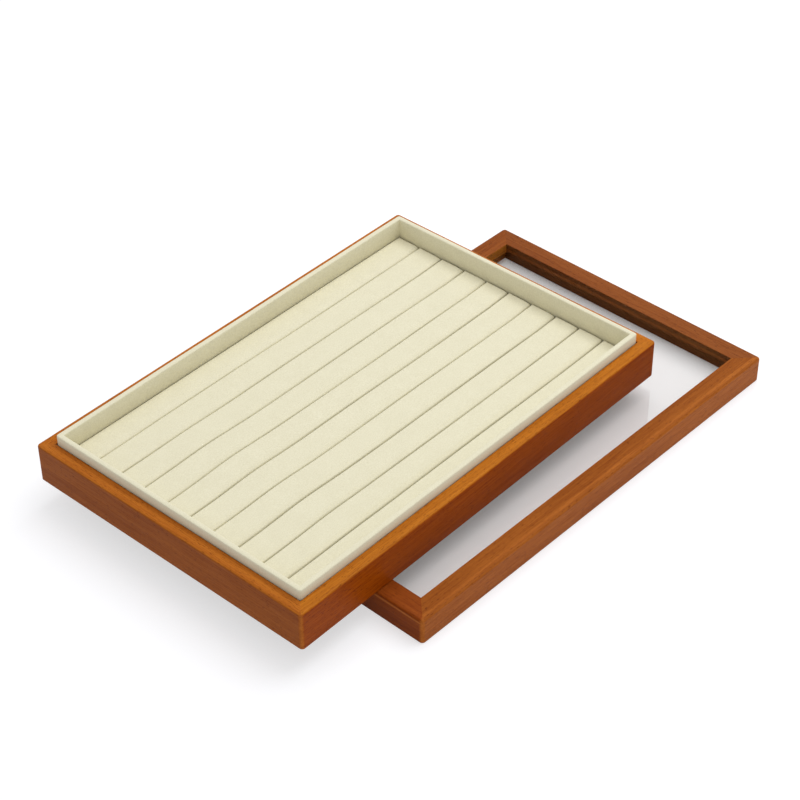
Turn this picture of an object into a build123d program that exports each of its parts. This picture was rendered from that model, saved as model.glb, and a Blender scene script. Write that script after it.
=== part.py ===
from build123d import *
import os
from math import cos, pi, radians, sin

# Plan size of the tray. The lid has the same plan, because it closes flush over the tray's base.
plan_length = 350.0
plan_width = 235.0

# Base: four mitred rails round a bottom panel
base_height = 29.3
base_rail = 9.0
standing_round = 2.6
wood_arris = 1.6
inner_arris = 0.4
foot_arris = 1.0

# Bottom panel, held in a groove round the rails, and the lining glued under it
panel_thickness = 3.0
panel_lift = 3.0
panel_groove = 3.0
panel_slack = 0.3
groove_play = 0.1
lining_thickness = 0.8
lining_margin = 1.0

# Loose keys glued across the mitres, inside the wood
key_length = 7.0
key_thickness = 1.6
key_slack = 0.1
base_key_height = 18.0
base_key_lift = 5.5
lid_key_height = 11.0
lid_key_lift = 3.5

# Lift-out liner: boards wrapped in cloth, standing proud of the base
liner_gap = 0.4
rim_proud = 7.3
wall_board = 2.6
floor_board = 2.0
board_round = 0.5
board_corner = 0.9
cloth = 0.6

# Ring rolls: foam strips in cloth covers, side by side along the liner
roll_count = 10
roll_height = 13.4
crown_radius = 70.0
roll_round = 1.6
roll_slit = 0.3
roll_end_gap = 0.6
back_roll_trim = 1.0
cover_thickness = 0.7
slot_lean = 0.9
slot_lean_run = 24.0

# Lid: mitred rails round a sheet of glass, with a pocket below it for the liner's rim
lid_rail = 15.0
lip_height = 7.0
glass_thickness = 2.0
glass_play = 0.1
rim_headroom = 3.2
glass_groove = 2.8
glass_slack = 0.5

# The tray rests on the lid, which lies flat. The lid's centre is this far from the tray's.
lid_shift_x = 67.7
lid_shift_y = -41.3
lid_yaw = -1.2

# Heights that follow from the sizes above
skirt_height = rim_proud + rim_headroom
lid_height = skirt_height + glass_thickness + glass_play + lip_height
panel_top = panel_lift + panel_thickness
rim_height = base_height + rim_proud
floor_top = panel_top + floor_board

# Distances in from the plan's edge
liner_inset = base_rail + liner_gap
board_inset = liner_inset + cloth
board_inside = board_inset + wall_board
well_inset = board_inside + cloth

# The origin is under the middle of the box round both halves, on the surface that they lie on.
yaw = radians(lid_yaw)
straight_x = plan_length / 2 - standing_round
straight_y = plan_width / 2 - standing_round
lid_reach_x = straight_x * cos(yaw) + straight_y * abs(sin(yaw)) + standing_round
lid_reach_y = straight_x * abs(sin(yaw)) + straight_y * cos(yaw) + standing_round
lowest_x = min(-plan_length / 2, lid_shift_x - lid_reach_x)
highest_x = max(plan_length / 2, lid_shift_x + lid_reach_x)
lowest_y = min(-plan_width / 2, lid_shift_y - lid_reach_y)
highest_y = max(plan_width / 2, lid_shift_y + lid_reach_y)
tray_x = -(lowest_x + highest_x) / 2
tray_y = -(lowest_y + highest_y) / 2
tray_plane = Plane(origin=(tray_x, tray_y, lid_height))
lid_plane = Plane(
    origin=(tray_x + lid_shift_x, tray_y + lid_shift_y, 0),
    x_dir=(cos(yaw), sin(yaw), 0),
    z_dir=(0, 0, 1),
)

SIDES = ("front", "back", "left", "right")

os.makedirs("parts", exist_ok=True)


def inside(inset):
    """Length and width of the plan when it is drawn in by inset."""
    return plan_length - 2 * inset, plan_width - 2 * inset


def quarter(side):
    """Outline of the part of the plan that belongs to one side, between the two mitres."""
    half_length = plan_length / 2
    half_width = plan_width / 2
    ridge = half_length - half_width
    if side in ("front", "back"):
        sign = -1 if side == "front" else 1
        return [
            (-half_length, sign * half_width),
            (half_length, sign * half_width),
            (ridge, 0),
            (-ridge, 0),
        ]
    sign = -1 if side == "left" else 1
    return [
        (sign * half_length, -half_width),
        (sign * half_length, half_width),
        (sign * ridge, 0),
    ]


def mitred(ring, side, plane, height):
    """The piece of a closed ring between the two mitres of one side."""
    with BuildPart() as piece:
        add(ring)
        with BuildSketch(plane):
            with BuildLine():
                Polyline(*quarter(side), close=True)
            make_face()
        extrude(amount=height, mode=Mode.INTERSECT)
    return piece.part


def corners(inset):
    """The four corners of the plan drawn in by inset, each with the turn that crosses its mitre."""
    length, width = inside(inset)
    spots = []
    for x_sign in (-1, 1):
        for y_sign in (-1, 1):
            spots.append(Location((x_sign * length / 2, y_sign * width / 2, 0), (0, 0, -45 * x_sign * y_sign)))
    return spots


def key_outlines(plane, slack=0.0):
    """Outlines of the four keys across the mitres, or of the slots for them where there is slack."""
    with BuildSketch(plane) as outlines:
        with Locations(*corners(base_rail / 2)):
            Rectangle(key_length + 2 * slack, key_thickness + 2 * slack)
    return outlines.sketch


# Base frame, first as one closed ring and then cut at the mitres
with BuildPart() as base_ring:
    with BuildSketch(tray_plane):
        RectangleRounded(plan_length, plan_width, standing_round)
        Rectangle(*inside(base_rail), mode=Mode.SUBTRACT)
    extrude(amount=base_height)
    with BuildSketch(tray_plane.offset(panel_lift)):
        Rectangle(*inside(base_rail - panel_groove))
    extrude(amount=panel_thickness + groove_play, mode=Mode.SUBTRACT)
    fillet(base_ring.faces().sort_by(Axis.Z)[-1].outer_wire().edges(), wood_arris)
    fillet(base_ring.faces().sort_by(Axis.Z)[-1].inner_wires()[0].edges(), inner_arris)
    fillet(base_ring.faces().sort_by(Axis.Z)[0].outer_wire().edges(), foot_arris)
    slots = key_outlines(tray_plane.offset(base_key_lift - key_slack), key_slack)
    extrude(slots, amount=base_key_height + 2 * key_slack, mode=Mode.SUBTRACT)

for side in SIDES:
    with BuildPart() as base_side:
        add(mitred(base_ring.part, side, tray_plane, base_height))
    base_side.part.label = f"base_rail_{side}"
    export_step(base_side.part, f"parts/base_rail_{side}.step")

with BuildPart() as base_corner_keys:
    extrude(key_outlines(tray_plane.offset(base_key_lift)), amount=base_key_height)
base_corner_keys.part.label = "base_corner_keys"
export_step(base_corner_keys.part, "parts/base_corner_keys.step")

# Bottom panel, with its edges in the rails' groove
with BuildPart() as base_panel:
    with BuildSketch(tray_plane.offset(panel_lift)):
        Rectangle(*inside(base_rail - panel_groove + panel_slack))
    extrude(amount=panel_thickness)
base_panel.part.label = "base_panel"
export_step(base_panel.part, "parts/base_panel.step")

# Thin lining under the panel, clear of whatever the tray stands on
with BuildPart() as base_lining:
    with BuildSketch(tray_plane.offset(panel_lift)):
        Rectangle(*inside(base_rail + lining_margin))
    extrude(amount=-lining_thickness)
base_lining.part.label = "base_lining"
export_step(base_lining.part, "parts/base_lining.step")

# Liner floor, between the wall boards
with BuildPart() as liner_floor:
    with BuildSketch(tray_plane.offset(panel_top)):
        Rectangle(*inside(board_inside))
    extrude(amount=floor_board)
liner_floor.part.label = "liner_floor"
export_step(liner_floor.part, "parts/liner_floor.step")

# Liner wall boards, mitred at the corners, with their top edges eased for the cloth
board_height = rim_height - cloth - panel_top
with BuildPart() as board_ring:
    with BuildSketch(tray_plane.offset(panel_top)):
        RectangleRounded(*inside(board_inset), board_corner)
        Rectangle(*inside(board_inside), mode=Mode.SUBTRACT)
    extrude(amount=board_height)
    fillet(board_ring.faces().sort_by(Axis.Z)[-1].edges(), board_round)

for side in SIDES:
    with BuildPart() as liner_wall:
        add(mitred(board_ring.part, side, tray_plane.offset(panel_top), board_height))
    liner_wall.part.label = f"liner_wall_{side}"
    export_step(liner_wall.part, f"parts/liner_wall_{side}.step")

# Cloth over the boards: up the outside, over the rim and down the inside to the floor
with BuildPart() as liner_wrap:
    with BuildSketch(tray_plane.offset(panel_top)):
        RectangleRounded(*inside(liner_inset), board_corner + cloth)
        Rectangle(*inside(well_inset), mode=Mode.SUBTRACT)
    extrude(amount=board_height + cloth)
    fillet(liner_wrap.faces().sort_by(Axis.Z)[-1].edges(), board_round + cloth)
    with BuildSketch(tray_plane.offset(panel_top)):
        Rectangle(*inside(board_inside))
    extrude(amount=floor_board, mode=Mode.SUBTRACT)
    add(board_ring.part, mode=Mode.SUBTRACT)
liner_wrap.part.label = "liner_wrap"
export_step(liner_wrap.part, "parts/liner_wrap.step")

# Ring rolls. Every slot is one pitch from the next, so the back roll is the narrow one.
well_length, well_width = inside(well_inset)
roll_pitch = (well_width + back_roll_trim) / roll_count
roll_length = well_length - 2 * roll_end_gap
lean_start = roll_length / 2 - slot_lean_run


def slot_place(number):
    """How far a slot lies from the tray's middle, and how far its right-hand end leans to the back."""
    if number == 0:
        return -well_width / 2, 0.0
    if number == roll_count:
        return well_width / 2, 0.0
    return -well_width / 2 + number * roll_pitch, slot_lean * sin(pi * number / roll_count)


def roll_shape(number, skin):
    """A roll between two slots, drawn in by skin on its top, sides and ends: its plan, cut to a
    crown and rounded along its upper edges."""
    near, near_lean = slot_place(number)
    far, far_lean = slot_place(number + 1)
    near += roll_slit / 2 + skin
    far -= roll_slit / 2 + skin
    half = roll_length / 2 - skin
    crest = floor_top + roll_height - skin
    axis = Plane(
        origin=(tray_x - half, tray_y + (near + far) / 2, lid_height + crest - crown_radius + skin),
        x_dir=(0, 1, 0),
        z_dir=(1, 0, 0),
    )
    with BuildPart() as shape:
        with BuildSketch(tray_plane.offset(floor_top)):
            with BuildLine():
                Polyline((lean_start, near), (-half, near), (-half, far), (lean_start, far))
                Line((lean_start, near), (half, near + near_lean))
                Line((half, near + near_lean), (half, far + far_lean))
                Line((half, far + far_lean), (lean_start, far))
            make_face()
        extrude(amount=roll_height - skin)
        with BuildSketch(axis):
            Circle(crown_radius - skin)
        extrude(amount=2 * half, mode=Mode.INTERSECT)
        fillet(shape.faces().sort_by(Axis.Z)[-1].edges(), roll_round - skin)
    return shape.part


for number in range(roll_count):
    name = f"{number + 1:02d}"
    with BuildPart() as roll_foam:
        add(roll_shape(number, cover_thickness))
    roll_foam.part.label = f"roll_foam_{name}"
    export_step(roll_foam.part, f"parts/roll_foam_{name}.step")

    with BuildPart() as roll_cover:
        add(roll_shape(number, 0.0))
        add(roll_foam.part, mode=Mode.SUBTRACT)
    roll_cover.part.label = f"roll_cover_{name}"
    export_step(roll_cover.part, f"parts/roll_cover_{name}.step")

# Lid frame: a lip over the glass, a groove that holds its edges, and a skirt round the pocket
with BuildPart() as lid_ring:
    with BuildSketch(lid_plane):
        RectangleRounded(plan_length, plan_width, standing_round)
        Rectangle(*inside(lid_rail), mode=Mode.SUBTRACT)
    extrude(amount=lid_height)
    with BuildSketch(lid_plane):
        Rectangle(*inside(base_rail))
    extrude(amount=lid_height - lip_height, mode=Mode.SUBTRACT)
    with BuildSketch(lid_plane.offset(skirt_height)):
        Rectangle(*inside(base_rail - glass_groove))
    extrude(amount=glass_thickness + glass_play, mode=Mode.SUBTRACT)
    fillet(lid_ring.faces().sort_by(Axis.Z)[-1].outer_wire().edges(), wood_arris)
    fillet(lid_ring.faces().sort_by(Axis.Z)[-1].inner_wires()[0].edges(), inner_arris)
    fillet(lid_ring.faces().sort_by(Axis.Z)[0].outer_wire().edges(), foot_arris)
    slots = key_outlines(lid_plane.offset(lid_key_lift - key_slack), key_slack)
    extrude(slots, amount=lid_key_height + 2 * key_slack, mode=Mode.SUBTRACT)

for side in SIDES:
    with BuildPart() as lid_side:
        add(mitred(lid_ring.part, side, lid_plane, lid_height))
    lid_side.part.label = f"lid_rail_{side}"
    export_step(lid_side.part, f"parts/lid_rail_{side}.step")

with BuildPart() as lid_corner_keys:
    extrude(key_outlines(lid_plane.offset(lid_key_lift)), amount=lid_key_height)
lid_corner_keys.part.label = "lid_corner_keys"
export_step(lid_corner_keys.part, "parts/lid_corner_keys.step")

# Glass, put into the grooves before the last rail goes on
with BuildPart() as lid_glass:
    with BuildSketch(lid_plane.offset(skirt_height)):
        Rectangle(*inside(base_rail - glass_groove + glass_slack))
    extrude(amount=glass_thickness)
lid_glass.part.label = "lid_glass"
export_step(lid_glass.part, "parts/lid_glass.step")
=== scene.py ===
import math

import bmesh
import bpy
from mathutils import Matrix, Vector


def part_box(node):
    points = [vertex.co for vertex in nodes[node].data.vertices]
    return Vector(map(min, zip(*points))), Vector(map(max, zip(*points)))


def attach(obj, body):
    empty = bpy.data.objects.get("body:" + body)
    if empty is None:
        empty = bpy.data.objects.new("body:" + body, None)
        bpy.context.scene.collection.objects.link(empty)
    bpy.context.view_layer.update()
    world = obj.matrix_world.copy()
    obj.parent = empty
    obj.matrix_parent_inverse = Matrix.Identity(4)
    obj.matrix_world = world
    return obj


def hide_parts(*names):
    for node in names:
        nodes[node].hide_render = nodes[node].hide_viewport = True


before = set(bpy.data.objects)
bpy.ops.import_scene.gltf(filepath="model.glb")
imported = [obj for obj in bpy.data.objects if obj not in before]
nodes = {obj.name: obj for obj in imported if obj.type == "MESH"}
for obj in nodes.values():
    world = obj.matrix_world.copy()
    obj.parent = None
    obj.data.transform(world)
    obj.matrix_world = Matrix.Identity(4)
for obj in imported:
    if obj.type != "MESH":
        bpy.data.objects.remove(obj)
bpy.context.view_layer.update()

scene = bpy.context.scene

# The camera: a 95 mm lens about 1.4 m away, over the tray's front left side and looking down at
# it, with the slight roll of a hand-levelled tripod head.
camera_place = Vector((-0.8229, -0.7230, 0.9254))
camera_turn = math.radians(-48.156)
camera_tilt = math.radians(50.804)
camera_roll = math.radians(-0.426)
camera_data = bpy.data.cameras.new("camera")
camera_data.sensor_width = 36.0
camera_data.lens = 94.89
camera = bpy.data.objects.new("camera", camera_data)
camera.matrix_world = (
    Matrix.Translation(camera_place)
    @ Matrix.Rotation(camera_turn, 4, "Z")
    @ Matrix.Rotation(camera_tilt, 4, "X")
    @ Matrix.Rotation(camera_roll, 4, "Z")
)
scene.collection.objects.link(camera)
scene.camera = camera
scene.view_settings.view_transform = "Standard"

# The studio: a white sweep under the tray, one wide soft box overhead and to the tray's right,
# and even white surroundings that fill the shadows.
floor_reach = 6.0
floor_white = "#EDEDEE"
floor_seen = "#BABBBF"
floor_seen_lift = 0.58
floor_glazed_lift = 0.18
fill_light = 0.6
soft_box_size = 1.5
soft_box_place = Vector((0.6, -0.15, 1.7))
soft_box_watts = 19.0


def linear(shade, alpha=1.0):
    """An sRGB hex colour as the linear values that shaders work in."""
    channels = [int(shade[i:i + 2], 16) / 255 for i in (1, 3, 5)]
    bent = [c / 12.92 if c <= 0.04045 else ((c + 0.055) / 1.055) ** 2.4 for c in channels]
    return (*bent, alpha)


def add_node(tree, kind, inputs=(), **settings):
    """Adds a node, gives it its settings, and links or fills its inputs."""
    node = tree.nodes.new(kind)
    for name, value in settings.items():
        setattr(node, name, value)
    for key, value in dict(inputs).items():
        if isinstance(value, bpy.types.NodeSocket):
            tree.links.new(value, node.inputs[key])
        else:
            node.inputs[key].default_value = value
    return node


def empty_material(name):
    """A material with nothing in its node tree yet."""
    material = bpy.data.materials.new(name)
    material.use_nodes = True
    material.node_tree.nodes.clear()
    return material, material.node_tree


def larger(tree, first, second):
    """The larger of two values."""
    return add_node(tree, "ShaderNodeMath", {0: first, 1: second}, operation="MAXIMUM").outputs[0]


# The sweep is white card to the light that falls on it. To the camera it has part of its
# brightness as a glow, so that it shows nearly white and still holds the tray's soft shadow.
# Seen through the lid's glass it glows less, so that the shadow under the glass stays deep.
sweep_white, tree = empty_material("matt_white_sweep")
path = add_node(tree, "ShaderNodeLightPath")
mirrored = add_node(tree, "ShaderNodeMath", {
    0: path.outputs["Is Glossy Ray"], 1: path.outputs["Is Transmission Ray"],
}, operation="SUBTRACT", use_clamp=True)
facing = larger(tree, path.outputs["Is Camera Ray"], mirrored.outputs[0])
card = add_node(tree, "ShaderNodeMix", {
    0: facing, 6: linear(floor_white), 7: linear(floor_seen),
}, data_type="RGBA")
lift = add_node(tree, "ShaderNodeMath", {0: facing, 1: floor_seen_lift}, operation="MULTIPLY")
lift = add_node(tree, "ShaderNodeMath", {
    0: path.outputs["Is Transmission Ray"], 1: floor_glazed_lift, 2: lift.outputs[0],
}, operation="MULTIPLY_ADD")
paint = add_node(tree, "ShaderNodeBsdfDiffuse", {"Color": card.outputs[2]})
glow = add_node(tree, "ShaderNodeEmission", {"Color": linear("#FFFFFF"), "Strength": lift.outputs[0]})
both = add_node(tree, "ShaderNodeAddShader", {0: paint.outputs[0], 1: glow.outputs[0]})
add_node(tree, "ShaderNodeOutputMaterial", {"Surface": both.outputs[0]})

sweep = bmesh.new()
bmesh.ops.create_grid(sweep, x_segments=1, y_segments=1, size=floor_reach)
sweep_mesh = bpy.data.meshes.new("sweep")
sweep.to_mesh(sweep_mesh)
sweep.free()
sweep_mesh.materials.append(sweep_white)
floor = bpy.data.objects.new("sweep", sweep_mesh)
scene.collection.objects.link(floor)

surroundings = bpy.data.worlds.new("white_surroundings")
surroundings.use_nodes = True
scene.world = surroundings
tree = surroundings.node_tree
tree.nodes.clear()
path = add_node(tree, "ShaderNodeLightPath")
facing = larger(tree, path.outputs["Is Camera Ray"], path.outputs["Is Glossy Ray"])
facing = larger(tree, facing, path.outputs["Is Transmission Ray"])
level = add_node(tree, "ShaderNodeMapRange", {"Value": facing, "To Min": fill_light, "To Max": 1.0})
sky = add_node(tree, "ShaderNodeBackground", {"Color": linear("#FFFFFF"), "Strength": level.outputs[0]})
add_node(tree, "ShaderNodeOutputWorld", {"Surface": sky.outputs[0]})

soft_box_data = bpy.data.lights.new("soft_box", "AREA")
soft_box_data.size = soft_box_size
soft_box_data.energy = soft_box_watts
soft_box = bpy.data.objects.new("soft_box", soft_box_data)
soft_box.location = soft_box_place
soft_box.rotation_euler = (-soft_box_place).to_track_quat("-Z", "Y").to_euler()
soft_box.visible_camera = False
scene.collection.objects.link(soft_box)

# Base rails: four lengths of open-grained hardwood, grooved for the bottom, mitred at the
# corners, stained orange brown and finished with a thin satin lacquer. Each rail's top and faces
# have their own tone, partly stain and partly painted light and shade. The stain wore lighter up
# the rounded corners.
SIDES = ("front", "back", "left", "right")
MM = 0.001
ring_spacing = 4.2
ring_wander = 3.0
heart_distance = 46.0
heart_lean = math.radians(2.2)
figure_stretch = 9.0
fibre_width = 0.75
fibre_stretch = 34.0
pore_width = 0.4
pore_stretch = 9.0
cloud_width = 16.0
pore_depth = 0.05 * MM
band_share = 0.2
cloud_share = 0.28
streak_share = 0.6
pore_share = 0.8
pale_core = 0.25
late_growth = "#C6B0A2"
pore_shade = "#8E6F5E"
# Paler edge colour: worn stain at the corners, and painted highlights along the lid's top edges.
wear_and_highlight_tone = "#C4752F"
# A wave pattern turns through this many radians in one unit of its scale.
wave_radians = 20.0


def depths_inside(tree, centre, half, top, turn):
    """How far a place lies inside a frame's outer faces: its ends, its long sides, its top, and
    its upright corners. half is half its plan, top its height, and turn its turn in plan."""
    place = add_node(tree, "ShaderNodeTexCoord").outputs["Object"]
    plan = add_node(tree, "ShaderNodeMapping", {
        "Vector": place, "Location": (centre.x, centre.y, 0.0), "Rotation": (0.0, 0.0, turn),
    }, vector_type="TEXTURE")
    size = add_node(tree, "ShaderNodeVectorMath", {0: plan.outputs[0]}, operation="ABSOLUTE")
    size = add_node(tree, "ShaderNodeSeparateXYZ", {0: size.outputs[0]})
    depths = {}
    for axis, (where, edge) in enumerate((("end", half.x), ("side", half.y), ("top", top))):
        depth = add_node(tree, "ShaderNodeMath", {0: edge, 1: size.outputs[axis]}, operation="SUBTRACT")
        depths[where] = depth.outputs[0]
    depths["corner"] = larger(tree, depths["end"], depths["side"])
    return depths


def pale_line(tree, depth, place, half_width):
    """1 where a depth is about place, falling softly to 0 at half_width to either side."""
    offset = add_node(tree, "ShaderNodeMath", {0: depth, 1: place}, operation="SUBTRACT")
    offset = add_node(tree, "ShaderNodeMath", {0: offset.outputs[0]}, operation="ABSOLUTE")
    return add_node(tree, "ShaderNodeMapRange", {
        "Value": offset.outputs[0], "From Min": pale_core * half_width, "From Max": half_width,
        "To Min": 1.0, "To Max": 0.0,
    }, interpolation_type="SMOOTHSTEP").outputs[0]


def stained_wood(name, top_tone, face_tone, turn, cut, outline, pale_lines):
    """Satin lacquer over stained open grain. It shows soft growth bands, silky lengthwise streaks
    and short dark pores along the rail. Its colour goes from face_tone on the sides to top_tone on
    the top, partly stain and partly painted light and shade. Pale lines are worn stain at the
    corners, partly painted highlight on the lid's, and painted highlights along the lid's rounded
    top edges.
    Pores are drawn a little wide so that they show. turn is the grain's direction in plan, and cut
    the place in the board, in mm like the grain's own widths. Each pale line has the face that it
    is measured from, its depth inside that, half its width, and its strength."""
    material, tree = empty_material(name)
    spot = add_node(tree, "ShaderNodeTexCoord")
    board = {}
    grains = (
        ("figure", figure_stretch, heart_lean),
        ("fibre", fibre_stretch, 0.0),
        ("pore", pore_stretch, 0.0),
    )
    for kind, stretch, lean in grains:
        along = add_node(tree, "ShaderNodeMapping", {
            "Vector": spot.outputs["Object"], "Rotation": (0.0, lean, -turn),
        }, vector_type="POINT")
        board[kind] = add_node(tree, "ShaderNodeMapping", {
            "Vector": along.outputs[0],
            "Location": (cut[0] / stretch, cut[1], cut[2]),
            "Scale": (1 / MM / stretch, 1 / MM, 1 / MM),
        }, vector_type="POINT").outputs[0]
    drift = add_node(tree, "ShaderNodeTexNoise", {
        "Vector": board["figure"], "Scale": 1 / cloud_width, "Detail": 3.0,
    })
    rings = add_node(tree, "ShaderNodeTexWave", {
        "Vector": board["figure"], "Scale": math.tau / wave_radians / ring_spacing,
        "Distortion": ring_wander, "Detail": 2.0, "Detail Scale": 0.06, "Detail Roughness": 0.55,
    }, wave_type="RINGS", rings_direction="X", wave_profile="SAW")
    fibres = add_node(tree, "ShaderNodeTexNoise", {
        "Vector": board["fibre"], "Scale": 1 / fibre_width, "Detail": 4.0, "Roughness": 0.65,
    })
    pores = add_node(tree, "ShaderNodeTexNoise", {
        "Vector": board["pore"], "Scale": 1 / pore_width, "Detail": 1.0,
    })
    band = add_node(tree, "ShaderNodeMapRange", {
        "Value": rings.outputs["Fac"], "To Min": 0.0, "To Max": band_share,
    })
    cloud = add_node(tree, "ShaderNodeMapRange", {
        "Value": drift.outputs["Fac"], "From Min": 0.35, "From Max": 0.68,
        "To Min": 0.0, "To Max": cloud_share,
    }, interpolation_type="SMOOTHSTEP")
    streak = add_node(tree, "ShaderNodeMapRange", {
        "Value": fibres.outputs["Fac"], "From Min": 0.34, "From Max": 0.7,
        "To Min": 0.0, "To Max": streak_share,
    })
    depth = add_node(tree, "ShaderNodeMath", {0: band.outputs[0], 1: cloud.outputs[0]}, operation="ADD")
    depth = add_node(tree, "ShaderNodeMath", {
        0: depth.outputs[0], 1: streak.outputs[0],
    }, operation="ADD", use_clamp=True)
    # Top painted in top_tone, faces in face_tone: the difference is partly stain and partly painted
    # light and shade.
    facing_up = add_node(tree, "ShaderNodeSeparateXYZ", {0: spot.outputs["Normal"]})
    upper = add_node(tree, "ShaderNodeMapRange", {
        "Value": facing_up.outputs["Z"], "From Min": 0.2, "From Max": 0.9,
    }, interpolation_type="SMOOTHSTEP")
    tone = add_node(tree, "ShaderNodeMix", {
        0: upper.outputs[0], 6: linear(face_tone), 7: linear(top_tone),
    }, data_type="RGBA")
    depths = depths_inside(tree, *outline)
    pale = 0.0
    for where, place, half_width, strength in pale_lines:
        line = pale_line(tree, depths[where], place, half_width)
        line = add_node(tree, "ShaderNodeMath", {0: line, 1: strength}, operation="MULTIPLY")
        pale = larger(tree, pale, line.outputs[0])
    # Paler along the pale lines: worn stain, and painted highlights where the lid's rounded edges catch
    # light.
    tone = add_node(tree, "ShaderNodeMix", {
        0: pale, 6: tone.outputs[2], 7: linear(wear_and_highlight_tone),
    }, data_type="RGBA")
    stain = add_node(tree, "ShaderNodeMix", {
        0: depth.outputs[0], 6: tone.outputs[2], 7: linear(late_growth),
    }, data_type="RGBA", blend_type="MULTIPLY")
    hole = add_node(tree, "ShaderNodeMapRange", {
        "Value": pores.outputs["Fac"], "From Min": 0.6, "From Max": 0.74,
        "To Min": 0.0, "To Max": pore_share,
    })
    stain = add_node(tree, "ShaderNodeMix", {
        0: hole.outputs[0], 6: stain.outputs[2], 7: linear(pore_shade),
    }, data_type="RGBA", blend_type="MULTIPLY")
    sheen = add_node(tree, "ShaderNodeMapRange", {
        "Value": fibres.outputs["Fac"], "From Min": 0.3, "From Max": 0.7, "To Min": 0.36, "To Max": 0.5,
    })
    relief = add_node(tree, "ShaderNodeMath", {
        0: streak.outputs[0], 1: hole.outputs[0],
    }, operation="SUBTRACT")
    bump = add_node(tree, "ShaderNodeBump", {
        "Height": relief.outputs[0], "Distance": pore_depth, "Strength": 0.5,
    })
    wood = add_node(tree, "ShaderNodeBsdfPrincipled", {
        "Base Color": stain.outputs[2], "Roughness": sheen.outputs[0], "Normal": bump.outputs[0],
        "Specular IOR Level": 0.05,
    })
    add_node(tree, "ShaderNodeOutputMaterial", {"Surface": wood.outputs[0]})
    return material


def dress(name, material):
    """Gives a carried-over piece its finish."""
    mesh = nodes[name].data
    mesh.materials.clear()
    mesh.materials.append(material)


plan_half = Vector((
    (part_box("base_rail_right")[1].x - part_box("base_rail_left")[0].x) / 2,
    (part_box("base_rail_back")[1].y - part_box("base_rail_front")[0].y) / 2,
))


def frame_outline(part, turn):
    """A frame's middle, half its plan, the height of its top, and its turn, for depths_inside."""
    boxes = [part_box(f"{part}_rail_{side}") for side in SIDES]
    low = Vector([min(box[0][axis] for box in boxes) for axis in range(3)])
    high = Vector([max(box[1][axis] for box in boxes) for axis in range(3)])
    return (low + high) / 2, plan_half, high.z, turn


def board_cut(number, first, steps):
    """The place in the board that a frame's rail is cut from: a step further on for each rail."""
    return tuple(place + number * step for place, step in zip(first, steps))


base_cut_first = (0.0, 0.0, heart_distance)
base_cut_steps = (310.0, 37.0, 9.0)
base_pale_lines = [("corner", 0.0, 2.8 * MM, 0.85)]
# Top and face tones of each rail: partly stain, and partly painted light and shade on tops and faces.
base_stain_and_shade_tones = {
    "front": ("#C87A22", "#A54D06"),
    "back": ("#C87622", "#A0501A"),
    "left": ("#C57526", "#A15920"),
    "right": ("#CB7A22", "#A0501A"),
}
for number, side in enumerate(SIDES):
    grain = 0.0 if side in ("front", "back") else math.radians(90)
    top_tone, face_tone = base_stain_and_shade_tones[side]
    cut = board_cut(number, base_cut_first, base_cut_steps)
    wood = stained_wood(f"stained_hardwood_base_{side}", top_tone, face_tone, grain, cut,
                        frame_outline("base", 0.0), base_pale_lines)
    dress(f"base_rail_{side}", wood)

# Corner keys: thin slips of planed beech, one in each corner of the base and the lid. They are
# glued across the mitres, inside the wood, and hold them shut.
beech_pale = "#D8B98C"
beech_dark = "#B98F5E"
beech_fleck = 2.0


def beech(name):
    """Raw beech, planed. It is pale and even, with short brown flecks."""
    material, tree = empty_material(name)
    place = add_node(tree, "ShaderNodeTexCoord").outputs["Object"]
    flecks = add_node(tree, "ShaderNodeTexNoise", {
        "Vector": place, "Scale": 1 / (beech_fleck * MM), "Detail": 3.0,
    })
    colour = add_node(tree, "ShaderNodeMix", {
        0: flecks.outputs["Fac"], 6: linear(beech_pale), 7: linear(beech_dark),
    }, data_type="RGBA")
    wood = add_node(tree, "ShaderNodeBsdfPrincipled", {
        "Base Color": colour.outputs[2], "Roughness": 0.7, "Specular IOR Level": 0.3,
    })
    add_node(tree, "ShaderNodeOutputMaterial", {"Surface": wood.outputs[0]})
    return material


key_beech = beech("planed_beech")
for name in ("base_corner_keys", "lid_corner_keys"):
    dress(name, key_beech)

# Bottom panel: a sheet of 3 mm birch plywood, held in the groove round the base rails. The liner
# stands on it.
ply_pale = "#C9A674"
ply_dark = "#A47C4C"
ply_figure = 14.0
ply_stretch = 9.0


def plywood(name):
    """Raw birch plywood, sanded. It shows a long soft figure and no gloss."""
    material, tree = empty_material(name)
    place = add_node(tree, "ShaderNodeTexCoord").outputs["Object"]
    along = add_node(tree, "ShaderNodeMapping", {
        "Vector": place, "Scale": (1 / MM / ply_stretch, 1 / MM, 1 / MM),
    })
    figure = add_node(tree, "ShaderNodeTexNoise", {
        "Vector": along.outputs[0], "Scale": 1 / ply_figure,
        "Detail": 6.0, "Roughness": 0.6, "Distortion": 0.6,
    })
    colour = add_node(tree, "ShaderNodeMix", {
        0: figure.outputs["Fac"], 6: linear(ply_pale), 7: linear(ply_dark),
    }, data_type="RGBA")
    wood = add_node(tree, "ShaderNodeBsdfPrincipled", {
        "Base Color": colour.outputs[2], "Roughness": 0.75, "Specular IOR Level": 0.3,
    })
    add_node(tree, "ShaderNodeOutputMaterial", {"Surface": wood.outputs[0]})
    return material


dress("base_panel", plywood("sanded_plywood"))

# Lining under the bottom: thin brown flocked cloth, glued on so that the tray doesn't scratch a
# glass counter.
flock_brown = "#3A2C24"
flock_light = "#57453A"
flock_grain = 0.7
flock_sheen = 0.2
pile_depth = 0.06 * MM
patch_width = 11.0
patch_share = 0.2


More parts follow.
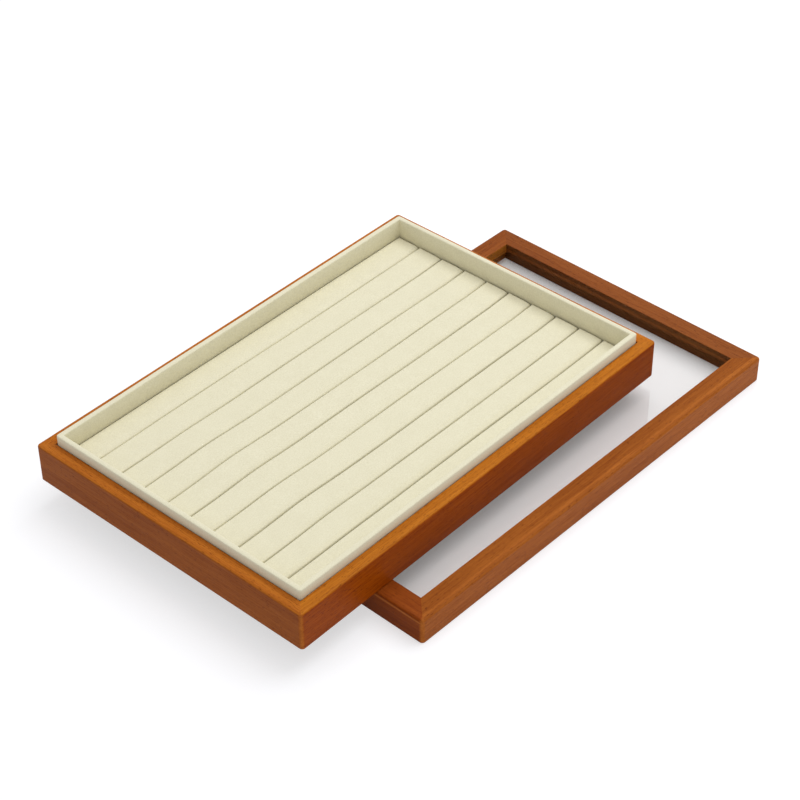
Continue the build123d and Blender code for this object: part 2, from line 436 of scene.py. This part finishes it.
def short_pile(name, colour, light, grain, sheen, roughness=0.95):
    """Short-napped cloth, or board felted from short fibres. They give a dry, even colour with a
    fine salt-and-pepper grain, and patches that are a little lighter or darker, as brushed. The
    grain is drawn coarse enough to show."""
    material, tree = empty_material(name)
    place = add_node(tree, "ShaderNodeTexCoord").outputs["Object"]
    nap = add_node(tree, "ShaderNodeTexNoise", {
        "Vector": place, "Scale": 1 / (grain * MM), "Detail": 2.0,
    })
    brushed = add_node(tree, "ShaderNodeTexNoise", {
        "Vector": place, "Scale": 1 / (patch_width * MM), "Detail": 3.0,
    })
    share = add_node(tree, "ShaderNodeMix", {
        0: patch_share, 2: nap.outputs["Fac"], 3: brushed.outputs["Fac"],
    }, data_type="FLOAT")
    spread = add_node(tree, "ShaderNodeMapRange", {
        "Value": share.outputs[0], "From Min": 0.3, "From Max": 0.7,
    })
    mix = add_node(tree, "ShaderNodeMix", {
        0: spread.outputs[0], 6: linear(colour), 7: linear(light),
    }, data_type="RGBA")
    bump = add_node(tree, "ShaderNodeBump", {
        "Height": nap.outputs["Fac"], "Distance": pile_depth, "Strength": 1.0,
    })
    cloth = add_node(tree, "ShaderNodeBsdfPrincipled", {
        "Base Color": mix.outputs[2], "Roughness": roughness, "Normal": bump.outputs[0],
        "Specular IOR Level": 0.15, "Sheen Weight": sheen, "Sheen Roughness": 0.5,
    })
    add_node(tree, "ShaderNodeOutputMaterial", {"Surface": cloth.outputs[0]})
    return material


flock = short_pile("brown_flock", flock_brown, flock_light, flock_grain, flock_sheen)
dress("base_lining", flock)

# Liner boards: a floor and four walls of grey board, glued at the edges. They show only where
# the liner is lifted out and turned over.
grey_board_dark = "#8A8377"
grey_board_pale = "#A39C8E"
fibre_speck = 0.9
board_roughness = 0.85
greyboard = short_pile("grey_bookbinding_board", grey_board_dark, grey_board_pale, fibre_speck, 0.0,
                       board_roughness)
dress("liner_floor", greyboard)
for side in SIDES:
    dress(f"liner_wall_{side}", greyboard)

# Liner cloth: one strip of cream microfibre, glued up the outside of the walls, over the rim and
# down the inside. Drawn tight over the boards, it still rounds their edges and lies a little
# uneven along them.
cream = "#DDD7BB"
cream_light = "#EBE6CC"
nap_grain = 0.8
nap_sheen = 0.15
cloth_thickness = 0.6 * MM
cloth_glued_share = 0.8
rim_round = 0.9 * MM
rim_steps = 4
rim_crown = 0.15 * MM
outer_corner = 1.7 * MM
inner_corner = 0.15 * MM
corner_steps = 4
wrap_step = 9.0 * MM
long_run = 20 * wrap_step
straight_enough = 0.99
wrap_unevenness = 0.13 * MM
uneven_depth = 6.0 * MM
uneven_phases = ((2, 0.4), (0, 1.3), (1, 2.1))
handwork_waves = (17.0, 13.0, 29.0)
microfibre = short_pile("cream_microfibre", cream, cream_light, nap_grain, nap_sheen)


def finished(name, mesh_source, material):
    """A new object from a bmesh, in the scene at the origin, smooth shaded."""
    mesh = bpy.data.meshes.new(name)
    mesh_source.to_mesh(mesh)
    mesh_source.free()
    mesh.materials.append(material)
    mesh.shade_smooth()
    piece = bpy.data.objects.new(name, mesh)
    scene.collection.objects.link(piece)
    return piece


def straight_edges(source, axis):
    """The edges that run along one axis."""
    return [
        e for e in source.edges
        if abs((e.verts[0].co - e.verts[1].co).normalized()[axis]) > straight_enough
    ]


def uneven(x, y, phase):
    """A smooth, slowly changing number between about -1 and 1, for where handwork is uneven."""
    x, y = x / MM, y / MM
    lengthwise, crosswise, slantwise = handwork_waves
    return (
        math.sin(x / lengthwise + phase)
        + math.sin(y / crosswise + 2 * phase)
        + math.sin((x + y) / slantwise + 3 * phase)
    ) / 3


def eased_ring(source, low, high, inset, height):
    """The edges of one rectangle of the strip, drawn in by inset, with its corners rounded."""
    before = set(source.edges)
    near, far = (low.x + inset, low.y + inset), (high.x - inset, high.y - inset)
    spots = ((near[0], near[1]), (far[0], near[1]), (far[0], far[1]), (near[0], far[1]))
    corners = [source.verts.new((x, y, height)) for x, y in spots]
    source.faces.new(corners)
    bmesh.ops.bevel(source, geom=corners, offset=max(outer_corner - inset, inner_corner),
                    segments=corner_steps, profile=0.5, material=-1, affect="VERTICES")
    flat = [f for f in source.faces if all(e not in before for e in f.edges)]
    bmesh.ops.delete(source, geom=flat, context="FACES_ONLY")
    return [e for e in source.edges if e not in before]


wrap_low, wrap_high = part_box("liner_wrap")
board_low, board_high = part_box("liner_floor")
rim_width = board_low.x + cloth_thickness - wrap_low.x
outer_half = []
inner_half = []
for step in range(rim_steps + 1):
    lean = math.radians(90) * step / rim_steps
    inset = rim_round * (1 - math.cos(lean))
    height = wrap_high.z - rim_crown - rim_round * (1 - math.sin(lean))
    outer_half.append((inset, height))
    inner_half.insert(0, (rim_width - inset, height))
over_rim = [
    (0.0, wrap_low.z), *outer_half,
    (rim_width / 2, wrap_high.z),
    *inner_half, (rim_width, board_high.z),
]
wrap = bmesh.new()
rings = [eased_ring(wrap, wrap_low, wrap_high, inset, height) for inset, height in over_rim]
for outer, inner in zip(rings, rings[1:]):
    bmesh.ops.bridge_loops(wrap, edges=outer + inner)
for axis in (0, 1):
    long_edges = [e for e in straight_edges(wrap, axis) if e.calc_length() > long_run]
    cuts = int(long_edges[0].calc_length() / wrap_step)
    bmesh.ops.subdivide_edges(wrap, edges=long_edges, cuts=cuts, use_grid_fill=True)
bmesh.ops.recalc_face_normals(wrap, faces=wrap.faces)
rim_top = max(wrap.faces, key=lambda f: f.calc_center_median().z)
if rim_top.normal.z < 0:
    bmesh.ops.reverse_faces(wrap, faces=wrap.faces)
for v in wrap.verts:
    if v.co.z > wrap_high.z - uneven_depth:
        for axis, phase in uneven_phases:
            v.co[axis] += wrap_unevenness * uneven(v.co.x, v.co.y, phase)
liner_cloth = finished("liner_cloth", wrap, microfibre)
thicken = liner_cloth.modifiers.new("cloth_thickness", "SOLIDIFY")
thicken.thickness = cloth_thickness * cloth_glued_share
thicken.offset = -1.0
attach(liner_cloth, "liner")
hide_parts("liner_wrap")

# Ring rolls: ten strips of foam, each in a cream microfibre cover glued round it, pressed side by
# side into the liner by hand. The foam swells the covers into shallow crowns. A roll's back edge
# stands crisp at the slot behind it, and its front edge rounds off unevenly into the one before.
roll_count = 10
roll_slit = 0.3 * MM
slot_gaps = (0.3, 1.65, 1.45, 1.7, 1.3, 1.6, 1.35, 1.45, 1.45, 1.2, 0.3)
long_steps = 96
cross_steps = 16
height_steps = 7
end_crowding = 0.6
side_crowding = 0.35
start_drop = 1.0 * MM
held_share = 0.74
swell_pressure = 1.3
swell_limit = 1.0 * MM
swell_frames = 20
back_fill = (0.55, 0.9)
end_fill = 8.0 * MM
end_fill_from = 0.3
edge_share = 0.01
edge_ease = 0.45 * MM
edge_hold = 0.95
front_rise = 0.4 * MM
front_sink = 0.95 * MM
sink_reach = 4.2 * MM
sink_change = 0.3
sink_wave = 23.0
sink_phase = 2.1
slot_lean = 0.9 * MM
slot_lean_run = 24.0 * MM
slot_places = (-0.05, -0.3, -0.45, 0.2, -0.25, -0.85, -0.8, -0.45, -0.05)
slot_slant = 0.7 * MM
slot_bulge = 1.3 * MM
slot_bulge_place = -95.0 * MM
slot_bulge_reach = 26.0 * MM
slot_bow = 0.2 * MM
slot_bow_wave = 31.0
slot_bow_phase = 1.7
end_push = 0.25 * MM
end_step = 0.2 * MM
end_phase = 2.3
end_phase_first = 0.6
crown_unevenness = 0.12 * MM
crown_phase = 0.7


def slot_drift(number, x, middle, reach):
    """How far slot number runs off its even, straight line at x: by where it was pressed in, a
    slant, a bulge towards the back at the left, a slow bow, and a lean at the right-hand end. The
    two outer edges lie along the walls and run straight."""
    if number in (0, roll_count):
        return 0.0
    along = x - middle
    share = math.sin(math.pi * number / roll_count)
    bulge = math.exp(-((along - slot_bulge_place) / slot_bulge_reach) ** 2)
    lean = max(0.0, along - reach + slot_lean_run) / slot_lean_run
    bow = math.sin(along / MM / slot_bow_wave + slot_bow_phase * number)
    drift = share * (slot_bulge * bulge - slot_slant * along / reach + slot_lean * lean)
    return slot_places[number - 1] * MM + drift + slot_bow * bow


def eased(value, low, high):
    """0 up to low, 1 from high, and a smooth rise between them."""
    share = min(max((value - low) / (high - low), 0.0), 1.0)
    return share * share * (3 - 2 * share)


def crowded(share, crowding):
    """A share of a length, moved so that even steps become finer towards both ends."""
    return share - crowding * math.sin(math.tau * share) / math.tau


def pressed_in(moved, rest, number, length, width, height):
    """Squares up a swollen roll's back edge and ends, and rounds its front edge into the slot."""
    to_end = min(rest.x, length - rest.x)
    share = rest.y / width
    at_end = eased(end_fill - to_end, 0.0, end_fill) * eased(share, 0.0, end_fill_from)
    full = max(eased(share, *back_fill), at_end)
    front = 1 - eased(rest.y, 0.0, sink_reach)
    spot = moved.lerp(rest, edge_hold * max(full, front))
    if rest.z > (1 - edge_share) * height:
        on_edge = share > 1 - edge_share or to_end < edge_share * height
        level = height + swell_limit - (edge_ease if on_edge else 0.0)
        spot.z = moved.z + front * (height + front_rise - moved.z)
        spot.z += full * (level - spot.z)
    sink = front_sink * (1 + sink_change * math.sin(rest.x / MM / sink_wave + sink_phase * number))
    roundness = 1 - min(rest.y / sink_reach, 1.0)
    spot.z -= sink * (1 - math.sqrt(1 - roundness ** 2)) * rest.z / height
    return spot


def swollen(piece, held):
    """Lets the foam push the cover out, with the sides and bottom held by their neighbours."""
    group = piece.vertex_groups.new(name="held")
    group.add(held, 1.0, "REPLACE")
    start = [v.co.copy() for v in piece.data.vertices]
    cloth = piece.modifiers.new("swell", "CLOTH")
    cloth.settings.quality = 5
    cloth.settings.use_pressure = True
    cloth.settings.uniform_pressure_force = swell_pressure
    cloth.settings.effector_weights.gravity = 0.0
    cloth.settings.vertex_group_mass = "held"
    cloth.point_cache.frame_start = 1
    cloth.point_cache.frame_end = swell_frames
    for step in range(1, swell_frames + 1):
        scene.frame_set(step)
    shown = piece.evaluated_get(bpy.context.evaluated_depsgraph_get())
    moved = [v.co.copy() for v in shown.data.vertices]
    piece.modifiers.remove(cloth)
    scene.frame_set(1)
    for v, before, after in zip(piece.data.vertices, start, moved):
        travel = after - before
        if travel.length > swell_limit:
            travel *= swell_limit / travel.length
        v.co = before + travel


covers = [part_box(f"roll_cover_{number + 1:02d}") for number in range(roll_count)]
slot_lines = [low.y - roll_slit / 2 for low, high in covers] + [covers[-1][1].y + roll_slit / 2]
for number, (low, high) in enumerate(covers):
    source = bmesh.new()
    bmesh.ops.create_cube(source, size=1.0)
    bmesh.ops.translate(source, vec=(0.5, 0.5, 0.5), verts=source.verts)
    length = high.x - low.x
    front_gap, back_gap = slot_gaps[number] * MM, slot_gaps[number + 1] * MM
    width = slot_lines[number + 1] - slot_lines[number] - (front_gap + back_gap) / 2
    height = high.z - low.z - start_drop
    bmesh.ops.scale(source, vec=(length, width, height), verts=source.verts)
    for axis, steps in enumerate((long_steps, cross_steps, height_steps)):
        along = straight_edges(source, axis)
        bmesh.ops.subdivide_edges(source, edges=along, cuts=steps - 1, use_grid_fill=True)
    for v in source.verts:
        v.co.x = length * crowded(v.co.x / length, end_crowding)
        v.co.y = width * crowded(v.co.y / width, side_crowding)
    source.verts.index_update()
    held = [v.index for v in source.verts if v.co.z < held_share * height]
    roll = finished(f"ring_roll_{number + 1:02d}", source, microfibre)
    rests = [v.co.copy() for v in roll.data.vertices]
    swollen(roll, held)
    end = end_push + end_step * math.sin(end_phase * number + end_phase_first)
    middle = (low.x + high.x) / 2
    for v, rest in zip(roll.data.vertices, rests):
        v.co = pressed_in(v.co, rest, number, length, width, height)
        x = low.x + v.co.x * (1 + end / length)
        share = v.co.y / width
        near = slot_lines[number] + slot_drift(number, x, middle, length / 2) + front_gap / 2
        far = slot_lines[number + 1] + slot_drift(number + 1, x, middle, length / 2) - back_gap / 2
        rise = crown_unevenness * uneven(x, v.co.y, crown_phase * number) * max(0.0, v.co.z / height)
        v.co = (x, near + (far - near) * share, low.z + v.co.z + rise)
    smooth = roll.modifiers.new("cover", "SUBSURF")
    smooth.levels = 1
    smooth.render_levels = 1
    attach(roll, "liner")
    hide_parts(f"roll_cover_{number + 1:02d}", f"roll_foam_{number + 1:02d}")

# Lid rails: four mitred lengths of the same wood, from a redder and darker board, with the same
# stain and lacquer. The lid lies turned by about a degree, and its grain turns with it. Its tops
# and faces have their own tones, partly stain and partly painted light and shade. Pale lines
# along the front rail's top and down the left and right rails' faces are painted highlights,
# where the rounded top edge catches the light, and the pale corners are partly wear and partly
# painted highlight.
lid_turn = math.radians(-1.2)
lid_cut_first = (1700.0, 0.0, 2 * heart_distance)
lid_cut_steps = (290.0, 23.0, -7.0)
# Lid corners painted paler, partly as wear and partly as painted highlight; the lines inside the top
# edge are painted highlights.
corner_wear_and_highlight = ("corner", 0.0, 3.4 * MM, 0.9)
lid_pale_lines = {
    "front": [corner_wear_and_highlight, ("side", 3.3 * MM, 1.8 * MM, 0.6)],
    "back": [corner_wear_and_highlight],
    "left": [corner_wear_and_highlight, ("top", 2.8 * MM, 1.2 * MM, 0.7)],
    "right": [corner_wear_and_highlight, ("top", 4.6 * MM, 1.6 * MM, 0.25)],
}
# Top and face tones of each rail: partly stain, and partly painted light and shade on tops and faces.
lid_stain_and_shade_tones = {
    "front": ("#A96021", "#B56829"),
    "back": ("#A05A26", "#A86A24"),
    "left": ("#974B17", "#8F4304"),
    "right": ("#9B5929", "#7B4F25"),
}
for number, side in enumerate(SIDES):
    grain = lid_turn if side in ("front", "back") else lid_turn + math.radians(90)
    top_tone, face_tone = lid_stain_and_shade_tones[side]
    cut = board_cut(number, lid_cut_first, lid_cut_steps)
    wood = stained_wood(f"stained_hardwood_lid_{side}", top_tone, face_tone, grain, cut,
                        frame_outline("lid", lid_turn), lid_pale_lines[side])
    dress(f"lid_rail_{side}", wood)

# Lid glass: one sheet of 2 mm float glass in the rails' groove. It is clear, with the faint green
# of plain window glass. The light that reaches the table through it, straight or from the
# surroundings, loses a few hundredths at each of its faces.
glass_tint = "#F4F6F5"
glass_shade = "#FCFAFA"
float_glass, tree = empty_material("clear_float_glass")
path = add_node(tree, "ShaderNodeLightPath")
pane = add_node(tree, "ShaderNodeBsdfPrincipled", {
    "Base Color": linear(glass_tint), "Roughness": 0.0, "IOR": 1.52, "Transmission Weight": 1.0,
})
let_through = add_node(tree, "ShaderNodeBsdfTransparent", {"Color": linear(glass_shade)})
glazing = add_node(tree, "ShaderNodeMixShader", {
    0: path.outputs["Is Diffuse Ray"], 1: pane.outputs[0], 2: let_through.outputs[0],
})
glazing = add_node(tree, "ShaderNodeMixShader", {
    0: path.outputs["Is Shadow Ray"], 1: glazing.outputs[0], 2: let_through.outputs[0],
})
add_node(tree, "ShaderNodeOutputMaterial", {"Surface": glazing.outputs[0]})
dress("lid_glass", float_glass)
